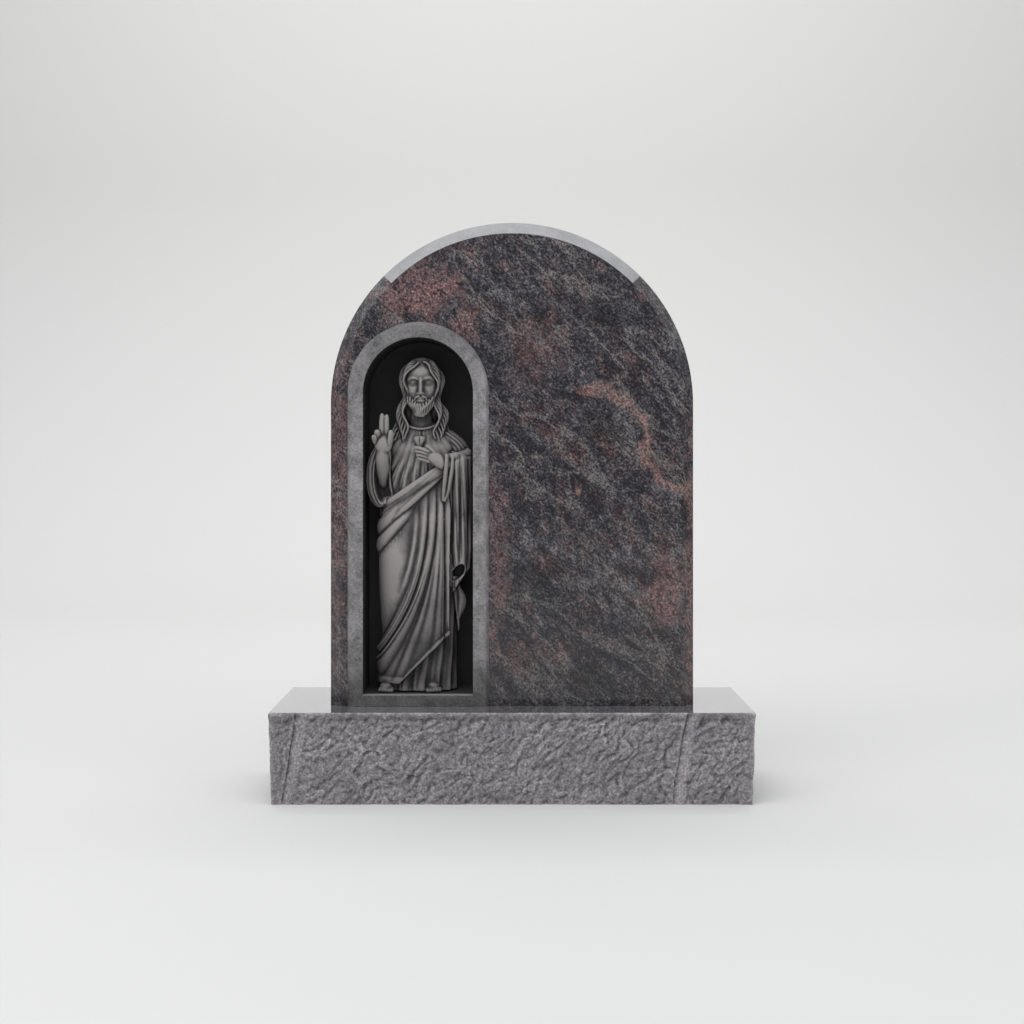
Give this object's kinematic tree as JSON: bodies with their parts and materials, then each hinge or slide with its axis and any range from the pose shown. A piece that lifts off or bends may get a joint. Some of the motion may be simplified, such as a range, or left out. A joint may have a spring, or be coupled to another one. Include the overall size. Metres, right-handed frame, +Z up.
{
  "type": "headstone",
  "caption": "Round-headed polished granite headstone with an arched niche holding a robed stone figure, on a split-faced grey base",
  "frame": {"origin": "on the ground under the middle of the base", "axes": "+X to the viewer's right, +Y to the back of the stone, +Z up"},
  "size_m": [0.79, 0.28, 0.956],
  "materials": {
    "split_granite": "split face, polished top",
    "polished_granite": "polished, honed on the niche band and the crown chamfer",
    "cast_stone": "matt, dark in the recesses"
  },
  "bodies": {
    "root": {"base": "split_granite", "slab": "polished_granite", "figure": "cast_stone"}
  },
  "joints": []
}
